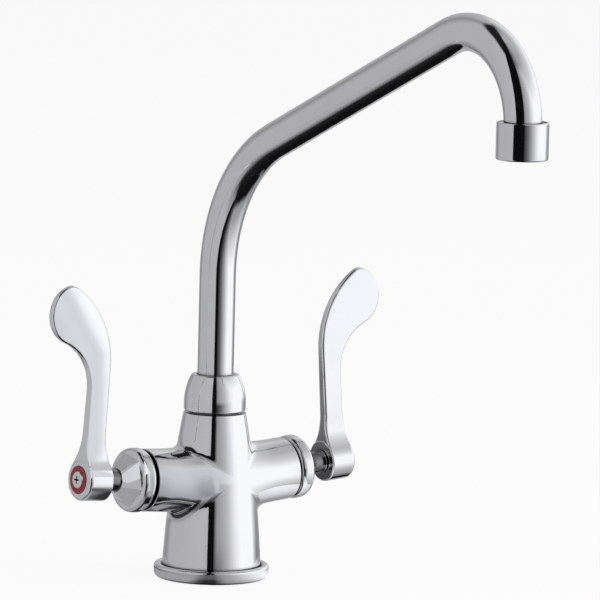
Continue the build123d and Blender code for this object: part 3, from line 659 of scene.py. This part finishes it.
def make_curtain():
    """Black curtains round the camera, as a closed box that narrows towards the faucet."""
    left, right, near, far, low, high = -9.0, 5.0, 0.46, 3.0, -0.6, 1.6
    corners = [(left, near), (right, near), (right, far), (left, far)]
    points = [photo_direction(*corner, height) for height in (low, high) for corner in corners]
    faces = [(0, 1, 5, 4), (1, 2, 6, 5), (2, 3, 7, 6), (3, 0, 4, 7), (3, 2, 1, 0), (4, 5, 6, 7)]
    only_in_reflections(mesh_object("camera_curtain", points, faces), even_shade(CURTAIN_BLACK))


def make_near_ground():
    """Round of ground at the foot."""
    count, radius, reach = 48, 0.1, 0.12
    angles = [2 * pi * step / count for step in range(count)]
    ring = [(radius * cos(angle), radius * sin(angle), 0.0) for angle in angles]
    only_in_reflections(mesh_object("near_ground", ring, [tuple(range(count))]), ground_shade, reach)


def make_cards():
    """Cards beside the arms, handles and spout that their chrome reflects."""
    add_card("arm_card", corner=(-0.008, -0.032, -0.06),
             first_edge=(0.0, -0.148, 0.0), second_edge=(0.0, 0.0, 0.23),
             shade=arm_card_shade, reach=0.09, cover=fading_from(-0.032, -0.046))
    add_card("blade_card", corner=(-0.105, -0.022, 0.064),
             first_edge=(0.0, 0.0, 0.106), second_edge=(0.055, 0.0, 0.0),
             shade=blade_card_shade, reach=0.034)
    add_card("hub_card", corner=(0.045, 0.018, 0.03),
             first_edge=(0.0, 0.042, 0.0), second_edge=(0.0, 0.0, 0.13),
             shade=hub_card_shade, reach=0.07)
    slope, lower_end, length, level_at_axis = tan(radians(24.3)), 0.01, 0.242, 0.1855
    upper_end = lower_end - length
    add_card("spout_card", corner=(-0.09, upper_end, level_at_axis - upper_end * slope),
             first_edge=(0.12, 0.0, 0.0), second_edge=(0.0, length, -length * slope),
             shade=spout_card_shade, reach=0.09, cover=fading_from(-0.018, -0.04))
    add_card("bend_card", corner=(-0.032, -0.07, 0.17),
             first_edge=(0.057, 0.0, 0.0), second_edge=(0.0, 0.082, 0.0),
             shade=even_shade(BLACK), reach=0.085, cover=only_from_afar)


def make_lamps(settings):
    """One large soft lamp from the upper right and a weaker one from the left."""
    distance, height, aim = 1.6, 1.5, Vector((0, 0, 0.12))
    for name, azimuth, share, size in (("main_lamp", 62.0, 1.0, 1.4), ("fill_lamp", -70.0, 0.35, 1.2)):
        data = bpy.data.lights.new(name, "AREA")
        data.energy = settings.lamp_power * share
        data.shape = "DISK"
        data.size = size
        lamp = bpy.data.objects.new(name, data)
        place = Vector(photo_direction(azimuth, distance, height))
        toward = (aim - place).to_track_quat("-Z", "Y")
        lamp.matrix_world = Matrix.Translation(place) @ toward.to_matrix().to_4x4()
        lamp.visible_glossy = False
        bpy.context.scene.collection.objects.link(lamp)


def make_world(settings):
    """White behind the object, even light on it, and a studio of grey and white walls in the chrome."""
    world = bpy.data.worlds.new("Studio")
    bpy.context.scene.world = world
    world.use_nodes = True
    tree = world.node_tree
    tree.nodes.clear()
    output = tree.nodes.new("ShaderNodeOutputWorld")
    background = tree.nodes.new("ShaderNodeBackground")
    path = tree.nodes.new("ShaderNodeLightPath")
    even = (settings.ambient, settings.ambient, settings.ambient, 1.0)
    seen = blend(tree, path.outputs["Is Glossy Ray"], even, studio_walls(tree, settings))
    put(tree, background.inputs["Color"], blend(tree, path.outputs["Is Camera Ray"], seen, (1, 1, 1, 1)))
    tree.links.new(background.outputs[0], output.inputs["Surface"])


def studio_walls(tree, settings):
    """Brightness of the studio by direction; azimuth 0 is the photographer, positive to the right."""
    grey, white = settings.grey_wall, settings.white_wall
    source = tree.nodes.new("ShaderNodeTexCoord")
    x, y, z = axes(tree, source.outputs["Generated"])
    azimuth = photo_azimuth(tree, x, y)
    elevation = math(tree, "DEGREES", math(tree, "ARCSINE", z))

    # Walls below and above the horizon, and the ceiling
    low = greys(tree, azimuth, [
        (-180, grey), (-160, grey * 0.9), (-141, grey * 0.55), (-127, grey * 0.8), (-118, grey),
        (-95, grey), (-20, grey * 1.05), (-10, grey * 0.95), (-6, 0.01), (5, 0.01), (11, 0.04),
        (24, 0.15), (37, 0.37), (51, 0.64), (65, 0.95), (75, white), (116, white), (124, 0.6),
        (136, 0.26), (155, 0.3), (172, grey), (180, grey),
    ])
    high = greys(tree, azimuth, [
        (-180, grey), (-160, grey * 0.9), (-141, grey * 0.6), (-127, grey * 0.85), (-118, grey),
        (-95, grey), (-20, grey * 1.1), (-8, grey * 1.0), (-5, 0.01), (5, 0.01), (11, 0.30), (14, 0.36),
        (22, 0.42), (38, 0.56), (50, 0.77), (62, 1.0), (75, white), (130, white), (160, white * 0.8),
        (180, grey),
    ])
    sides = blend(tree, ease(tree, elevation, -7.5, 1.0), low, high)
    top = greys(tree, azimuth, [
        (-180, 0.02), (-20, 0.01), (0, 0.02), (20, 0.22), (45, 0.36), (120, 0.5), (160, 0.4), (180, 0.1),
    ])

    # No wall is brighter than its height allows
    limit = gradient(tree, elevation, [
        (-90, (0.36, 0.36, 0.37)), (-50, (0.38, 0.38, 0.39)), (-40, (0.53, 0.53, 0.54)),
        (-30, (0.72, 0.72, 0.73)), (-12, (white, white, white)), (15, (white, white, white)),
        (35, (0.74, 0.74, 0.75)), (55, (0.5, 0.5, 0.51)), (90, (0.5, 0.5, 0.51)),
    ])

    # The ceiling starts higher on the left
    later = math(tree, "MULTIPLY", ease(tree, azimuth, -40.0, -80.0), 7.0)
    overhead = ease(tree, math(tree, "SUBTRACT", elevation, later), 50.0, 60.0)
    upper = blend(tree, overhead, combine(tree, "DARKEN", sides, limit), top)

    # The black below starts higher behind the faucet
    sooner = greys(tree, azimuth, [
        (-180, 1.0), (-160, 0.79), (-140, 0.36), (-125, 0.29), (-100, 0.29), (-80, 0.11), (-57, 0.0),
        (70, 0.0), (90, 0.07), (110, 0.29), (135, 0.43), (160, 0.93), (180, 1.0),
    ], blue=1.0)
    lift = math(tree, "SUBTRACT", math(tree, "MULTIPLY", sooner, 28.0), 8.0)
    below = ease(tree, math(tree, "SUBTRACT", elevation, lift), -50.0, -60.0)
    return blend(tree, below, upper, (BLACK, BLACK, BLACK, 1.0))


def make_camera(context):
    """Camera at the photograph's place, turned as the photograph is."""
    azimuth, elevation = radians(CAMERA_AZIMUTH), radians(CAMERA_ELEVATION)
    back = Vector((sin(azimuth) * cos(elevation), -cos(azimuth) * cos(elevation), sin(elevation)))
    right = Vector((cos(azimuth), sin(azimuth), 0.0))
    up = back.cross(right)
    roll = radians(CAMERA_ROLL)
    rolled_right = right * cos(roll) + up * sin(roll)
    rolled_up = up * cos(roll) - right * sin(roll)
    data = bpy.data.cameras.new("photo_camera")
    data.sensor_width = SENSOR_WIDTH_MM
    data.lens = FOCAL_LENGTH_MM
    data.shift_x = SHIFT_RIGHT
    data.shift_y = SHIFT_UP
    data.clip_end = FAR_CLIP
    camera = bpy.data.objects.new("photo_camera", data)
    turn = Matrix((rolled_right, rolled_up, back)).transposed().to_4x4()
    camera.matrix_world = Matrix.Translation(CAMERA_PLACE) @ turn
    context.scene.collection.objects.link(camera)
    context.scene.camera = camera


class FAUCET_OT_studio(bpy.types.Operator):
    """Floor, lamps, surroundings for the chrome and the camera"""

    bl_idname = "faucet.studio"
    bl_label = "Studio"

    def execute(self, context):
        settings = context.scene.faucet_studio
        make_floor(settings)
        make_curtain()
        make_near_ground()
        make_cards()
        make_lamps(settings)
        make_world(settings)
        make_camera(context)
        context.scene.view_settings.view_transform = "Standard"
        return {"FINISHED"}


# Pieces
class FAUCET_OT_body(bpy.types.Operator):
    """Cast body with its collar nut and the two bonnet nuts"""

    bl_idname = "faucet.body"
    bl_label = "Body"

    def execute(self, context):
        dress("Chrome cast", "body_casting")
        dress("Chrome turned", "spout_collar_nut")
        dress("Chrome nut", *both_arms("bonnet_nut"))
        # The necks' chrome is painted darker to show shade.
        dress("Plated neck", *both_arms("cartridge_body"))
        return {"FINISHED"}


class FAUCET_OT_spout(bpy.types.Operator):
    """Bent spout tube with its swivel and outlet"""

    bl_idname = "faucet.spout"
    bl_label = "Spout"

    def execute(self, context):
        dress("Chrome drawn", "spout_tube")
        dress("Chrome turned", "aerator_housing", "outlet_sleeve")
        dress("Brass upright", "spout_swivel_stub")
        dress("White plastic", "aerator_insert", "spout_bearing_washer")
        dress("Steel pressed", "aerator_screen")
        dress("Black rubber", "aerator_washer", "spout_o_rings")
        return {"FINISHED"}


class FAUCET_OT_handles(bpy.types.Operator):
    """Blade handles with their index rings and screws"""

    bl_idname = "faucet.handles"
    bl_label = "Handles"

    def execute(self, context):
        dress("Chrome forged", *both_arms("handle"))
        dress("Chrome turned", *both_arms("handle_screw"))
        dress("Hot enamel", "hot_index_ring")
        dress("Cold enamel", "cold_index_ring")
        return {"FINISHED"}


class FAUCET_OT_cartridges(bpy.types.Operator):
    """Discs, spindles, clips and seals inside the arms"""

    bl_idname = "faucet.cartridges"
    bl_label = "Cartridges"

    def execute(self, context):
        dress("White ceramic", *both_arms("fixed_disc", "moving_disc"))
        dress("Steel along arm", *both_arms("spindle", "spindle_clip"))
        dress("Black rubber", *both_arms("seat_seal", "cartridge_o_ring", "spindle_o_rings"))
        return {"FINISHED"}


class FAUCET_OT_mounting(bpy.types.Operator):
    """Threaded shank, washers and nut below the deck"""

    bl_idname = "faucet.mounting"
    bl_label = "Mounting"

    def execute(self, context):
        dress("Black rubber", "base_gasket", "deck_rubber_washer")
        dress("Steel pressed", "deck_steel_washer")
        dress("Brass upright", "mounting_nut")
        shank = make_shank(context.scene.faucet_thread)
        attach(shank, "faucet_body")
        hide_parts("mounting_shank")
        return {"FINISHED"}


def thread_tree():
    """Threaded tube from a grid: columns run round, rows run up the thread and down the bore."""
    tree = bpy.data.node_groups.new("Threaded tube", "GeometryNodeTree")
    numbers = ("Radius", "Bore", "Pitch", "Depth", "Chamfer", "Foot", "Top", "Thread End")
    sockets = [(label, "Float") for label in numbers]
    sockets += [("Points Around", "Int"), ("Rows", "Int"), ("Finish", "Material")]
    for label, kind in sockets:
        tree.interface.new_socket(label, in_out="INPUT", socket_type="NodeSocket" + kind)
    tree.interface.new_socket("Geometry", in_out="OUTPUT", socket_type="NodeSocketGeometry")
    given = tree.nodes.new("NodeGroupInput").outputs
    end = tree.nodes.new("NodeGroupOutput")

    def calc(operation, first, second=0.0):
        return math(tree, operation, first, second)

    def held(value):
        """A number kept between 0 and 1."""
        return calc("MINIMUM", calc("MAXIMUM", value, 0.0), 1.0)

    # A flat grid of one unit, told apart by column and row
    grid = tree.nodes.new("GeometryNodeMeshGrid")
    last = calc("ADD", given["Rows"], CLOSING_ROWS)
    put(tree, grid.inputs["Vertices X"], calc("ADD", given["Points Around"], 1.0))
    put(tree, grid.inputs["Vertices Y"], calc("ADD", last, 1.0))
    position = tree.nodes.new("GeometryNodeInputPosition")
    x, y, _ = axes(tree, position.outputs[0])
    turn = calc("ADD", x, 0.5)
    row = calc("ROUND", calc("MULTIPLY", calc("ADD", y, 0.5), last))

    # Height: up the outside, over the top, and back to the foot in the last row
    risen = held(calc("DIVIDE", calc("SUBTRACT", row, 1.0), given["Rows"]))
    share = calc("MULTIPLY", risen, calc("LESS_THAN", row, calc("SUBTRACT", last, 0.5)))
    length = calc("SUBTRACT", given["Top"], given["Foot"])
    height = calc("ADD", given["Foot"], calc("MULTIPLY", share, length))

    # Radius: the thread's outline outside, within the chamfer at the foot, and the bore inside
    phase = calc("FRACT", calc("SUBTRACT", calc("DIVIDE", height, given["Pitch"]), turn))
    ridge = calc("MULTIPLY", calc("ABSOLUTE", calc("SUBTRACT", phase, 0.5)), 2.0)
    flank = held(calc("MULTIPLY", calc("SUBTRACT", ridge, ROOT_FLAT), FLANK_RISE))
    cut = calc("MULTIPLY", calc("SUBTRACT", 1.0, flank), given["Depth"])
    cut = calc("MULTIPLY", cut, calc("LESS_THAN", height, given["Thread End"]))
    bevel = calc("ADD", calc("SUBTRACT", given["Radius"], given["Chamfer"]),
                 calc("SUBTRACT", height, given["Foot"]))
    outer = calc("MINIMUM", calc("SUBTRACT", given["Radius"], cut), bevel)
    on_outside = calc("MULTIPLY", calc("GREATER_THAN", row, 0.5),
                      calc("LESS_THAN", row, calc("SUBTRACT", last, 1.5)))
    wall = calc("MULTIPLY", on_outside, calc("SUBTRACT", outer, given["Bore"]))
    radius = calc("ADD", given["Bore"], wall)

    angle = calc("MULTIPLY", turn, 2 * pi)
    spot = tree.nodes.new("ShaderNodeCombineXYZ")
    put(tree, spot.inputs["X"], calc("MULTIPLY", radius, calc("COSINE", angle)))
    put(tree, spot.inputs["Y"], calc("MULTIPLY", radius, calc("SINE", angle)))
    put(tree, spot.inputs["Z"], height)
    move = tree.nodes.new("GeometryNodeSetPosition")
    tree.links.new(grid.outputs["Mesh"], move.inputs["Geometry"])
    tree.links.new(spot.outputs[0], move.inputs["Position"])
    weld = tree.nodes.new("GeometryNodeMergeByDistance")
    weld.inputs["Distance"].default_value = WELD_DISTANCE
    tree.links.new(move.outputs[0], weld.inputs["Geometry"])
    realize = tree.nodes.new("GeometryNodeRealizeInstances")
    tree.links.new(weld.outputs[0], realize.inputs[0])
    paint = tree.nodes.new("GeometryNodeSetMaterial")
    tree.links.new(realize.outputs[0], paint.inputs["Geometry"])
    tree.links.new(given["Finish"], paint.inputs["Material"])
    tree.links.new(paint.outputs[0], end.inputs["Geometry"])
    return tree


def make_shank(sizes):
    """The threaded shank as one plain mesh."""
    low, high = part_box("mounting_shank")
    carrier = mesh_object("shank_thread", [], [])
    carrier.data.materials.append(finish("Brass upright"))
    modifier = carrier.modifiers.new("Thread", "NODES")
    modifier.node_group = thread_tree()
    rows = int((high[2] - low[2]) / sizes.pitch * sizes.per_turn)
    values = {
        "Radius": sizes.radius, "Bore": sizes.bore, "Pitch": sizes.pitch, "Depth": sizes.depth,
        "Chamfer": sizes.chamfer, "Foot": low[2], "Top": high[2], "Thread End": 0.0,
        "Points Around": sizes.around, "Rows": rows, "Finish": finish("Brass upright"),
    }
    for item in modifier.node_group.interface.items_tree:
        if item.name in values and item.in_out == "INPUT":
            modifier[item.identifier] = values[item.name]
    return bake_modifiers(carrier)


def bake_modifiers(thing, sharp_angle=35.0):
    """Turn an object's modifiers into a plain mesh with outward faces and smooth shading."""
    graph = bpy.context.evaluated_depsgraph_get()
    mesh = bpy.data.meshes.new_from_object(thing.evaluated_get(graph))
    thing.modifiers.clear()
    old = thing.data
    thing.data = mesh
    bpy.data.meshes.remove(old)
    mesh.name = thing.name
    shell = bmesh.new()
    shell.from_mesh(mesh)
    bmesh.ops.recalc_face_normals(shell, faces=shell.faces)
    for edge in shell.edges:
        edge.smooth = len(edge.link_faces) == 2 and edge.calc_face_angle() < radians(sharp_angle)
    for face in shell.faces:
        face.smooth = True
    shell.to_mesh(mesh)
    shell.free()
    return thing


STEPS = ("studio", "body", "spout", "handles", "cartridges", "mounting")


class VIEW3D_PT_faucet(bpy.types.Panel):
    """Faucet panel"""

    bl_idname = "VIEW3D_PT_faucet"
    bl_label = "Faucet"
    bl_space_type = "VIEW_3D"
    bl_region_type = "UI"
    bl_category = "Faucet"

    def draw(self, context):
        scene = context.scene
        for settings in (scene.faucet_finish, scene.faucet_thread, scene.faucet_studio):
            box = self.layout.box()
            for name in settings.bl_rna.properties.keys():
                if name not in ("rna_type", "name"):
                    box.prop(settings, name)
        for step in STEPS:
            self.layout.operator(f"faucet.{step}")


CLASSES = (
    FaucetFinish, FaucetThread, FaucetStudio, FAUCET_OT_studio, FAUCET_OT_body, FAUCET_OT_spout,
    FAUCET_OT_handles, FAUCET_OT_cartridges, FAUCET_OT_mounting, VIEW3D_PT_faucet,
)


def register():
    """Add the classes and the scene's settings."""
    for cls in CLASSES:
        bpy.utils.register_class(cls)
    bpy.types.Scene.faucet_finish = PointerProperty(type=FaucetFinish)
    bpy.types.Scene.faucet_thread = PointerProperty(type=FaucetThread)
    bpy.types.Scene.faucet_studio = PointerProperty(type=FaucetStudio)


def unregister():
    """Take the settings and the classes away again."""
    del bpy.types.Scene.faucet_studio
    del bpy.types.Scene.faucet_thread
    del bpy.types.Scene.faucet_finish
    for cls in reversed(CLASSES):
        bpy.utils.unregister_class(cls)


def main():
    register()
    for step in STEPS:
        getattr(bpy.ops.faucet, step)()


if __name__ == "__main__":
    main()
